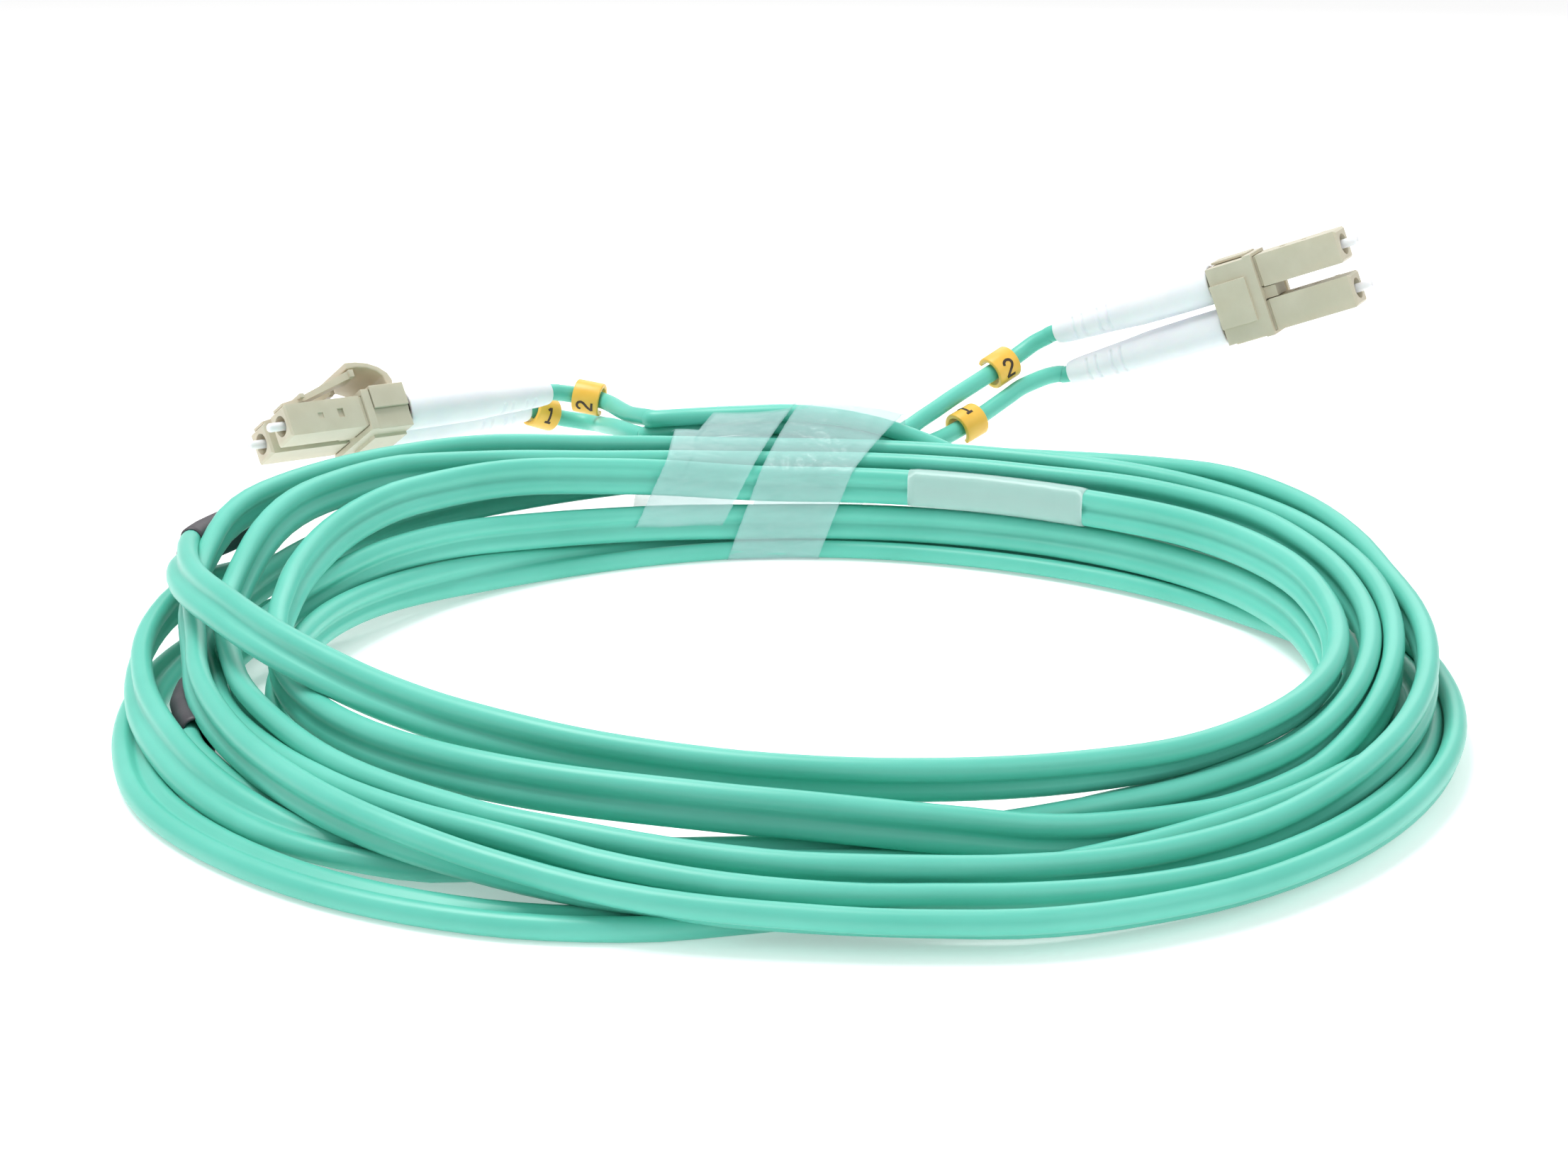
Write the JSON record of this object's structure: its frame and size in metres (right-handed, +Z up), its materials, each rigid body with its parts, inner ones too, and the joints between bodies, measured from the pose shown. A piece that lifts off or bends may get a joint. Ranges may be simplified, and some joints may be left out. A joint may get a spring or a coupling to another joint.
{
  "type": "fiber optic patch cord",
  "caption": "Coiled aqua duplex fiber optic patch cord tied with clear film, with a latching duplex plug pair, white boots and number rings on each end.",
  "frame": {"origin": "middle of the whole object's box, on the plane the coil lies on", "axes": "+Z up; +Y from the front of the coil to the tied back where both plug pairs are; +X towards the right plug pair"},
  "size_m": [0.1524, 0.1746, 0.0435],
  "materials": {
    "cord": "aqua PVC zip-cord jacket, smooth with a soft sheen",
    "housing": "beige moulded plastic, fine satin",
    "boot": "white soft moulded boot, satin",
    "marker": "yellow moulded number ring with dark numeral",
    "ceramic": "white zirconia ceramic, ground and polished",
    "steel": "bright steel",
    "film": "clear adhesive film, wrinkled and glossy",
    "label_film": "clear label sleeve, slightly grey",
    "shrink": "dark heat-shrink sleeve, satin"
  },
  "bodies": {
    "cord_and_plugs": {"coil_lower": "cord", "coil_upper": "cord", "left_wrap": "film", "right_wrap": "film", "label_sleeve": "label_film", "left_split_sleeve": "shrink", "right_split_sleeve": "shrink", "left_housing_1": "housing", "left_spring_1": "steel", "left_stop_body_1": "housing", "left_crimp_sleeve_1": "steel", "left_boot_1": "boot", "left_leg_1": "cord", "left_marker_1": "marker", "left_housing_2": "housing", "left_spring_2": "steel", "left_stop_body_2": "housing", "left_crimp_sleeve_2": "steel", "left_boot_2": "boot", "left_leg_2": "cord", "left_marker_2": "marker", "left_clip_base": "housing", "left_clip_cover": "housing", "right_housing_1": "housing", "right_spring_1": "steel", "right_stop_body_1": "housing", "right_crimp_sleeve_1": "steel", "right_boot_1": "boot", "right_leg_1": "cord", "right_marker_1": "marker", "right_housing_2": "housing", "right_spring_2": "steel", "right_stop_body_2": "housing", "right_crimp_sleeve_2": "steel", "right_boot_2": "boot", "right_leg_2": "cord", "right_marker_2": "marker", "right_clip_base": "housing", "right_clip_cover": "housing"},
    "left_trigger": {"left_trigger": "housing"},
    "left_latch_1": {"left_latch_1": "housing"},
    "left_ferrule_1": {"left_ferrule_1": "ceramic", "left_flange_1": "steel", "left_buffer_tube_1": "boot"},
    "left_latch_2": {"left_latch_2": "housing"},
    "left_ferrule_2": {"left_ferrule_2": "ceramic", "left_flange_2": "steel", "left_buffer_tube_2": "boot"},
    "right_trigger": {"right_trigger": "housing"},
    "right_latch_1": {"right_latch_1": "housing"},
    "right_ferrule_1": {"right_ferrule_1": "ceramic", "right_flange_1": "steel", "right_buffer_tube_1": "boot"},
    "right_latch_2": {"right_latch_2": "housing"},
    "right_ferrule_2": {"right_ferrule_2": "ceramic", "right_flange_2": "steel", "right_buffer_tube_2": "boot"}
  },
  "joints": [
    {"name": "left_trigger_press", "type": "hinge", "parent": "cord_and_plugs", "child": "left_trigger", "pos_m": [-0.06039, 0.06457, 0.01855], "axis": [0.5586, -0.6348, 0.5338], "range_deg": [0, 8], "stiffness_Nm_per_rad": 0.02, "springref_deg": -2.86},
    {"name": "left_latch_1_flex", "type": "hinge", "parent": "cord_and_plugs", "child": "left_latch_1", "pos_m": [-0.07454, 0.05518, 0.01634], "axis": [-0.5586, 0.6348, -0.5338], "range_deg": [0, 4]},
    {"name": "left_latch_2_flex", "type": "hinge", "parent": "cord_and_plugs", "child": "left_latch_2", "pos_m": [-0.07105, 0.05121, 0.01967], "axis": [-0.5586, 0.6348, -0.5338], "range_deg": [0, 4]},
    {"name": "left_ferrule_1_float", "type": "slide", "parent": "cord_and_plugs", "child": "left_ferrule_1", "axis": [0.762, 0.647, -0.028], "range_m": [0, 0.001], "stiffness_N_per_m": 1000, "springref_m": -0.001, "deforming": ["left_spring_1"]},
    {"name": "left_ferrule_2_float", "type": "slide", "parent": "cord_and_plugs", "child": "left_ferrule_2", "axis": [0.762, 0.647, -0.028], "range_m": [0, 0.001], "stiffness_N_per_m": 1000, "springref_m": -0.001, "deforming": ["left_spring_2"]},
    {"name": "right_trigger_press", "type": "hinge", "parent": "cord_and_plugs", "child": "right_trigger", "pos_m": [0.06036, 0.06656, 0.03242], "axis": [0.3339, -0.1249, -0.9343], "range_deg": [0, 8], "stiffness_Nm_per_rad": 0.02, "springref_deg": -2.86},
    {"name": "right_latch_1_flex", "type": "hinge", "parent": "cord_and_plugs", "child": "right_latch_1", "pos_m": [0.07475, 0.05776, 0.0354], "axis": [-0.3339, 0.1249, 0.9343], "range_deg": [0, 4]},
    {"name": "right_latch_2_flex", "type": "hinge", "parent": "cord_and_plugs", "child": "right_latch_2", "pos_m": [0.07266, 0.05854, 0.04124], "axis": [-0.3339, 0.1249, 0.9343], "range_deg": [0, 4]},
    {"name": "right_ferrule_1_float", "type": "slide", "parent": "cord_and_plugs", "child": "right_ferrule_1", "axis": [-0.8269, 0.437, -0.354], "range_m": [0, 0.001], "stiffness_N_per_m": 1000, "springref_m": -0.001, "deforming": ["right_spring_1"]},
    {"name": "right_ferrule_2_float", "type": "slide", "parent": "cord_and_plugs", "child": "right_ferrule_2", "axis": [-0.8269, 0.437, -0.354], "range_m": [0, 0.001], "stiffness_N_per_m": 1000, "springref_m": -0.001, "deforming": ["right_spring_2"]}
  ],
  "couplings": [
    {"joint": "left_latch_1_flex", "follows": "left_trigger_press", "ratio": 0.5},
    {"joint": "left_latch_2_flex", "follows": "left_trigger_press", "ratio": 0.5},
    {"joint": "right_latch_1_flex", "follows": "right_trigger_press", "ratio": 0.5},
    {"joint": "right_latch_2_flex", "follows": "right_trigger_press", "ratio": 0.5}
  ]
}
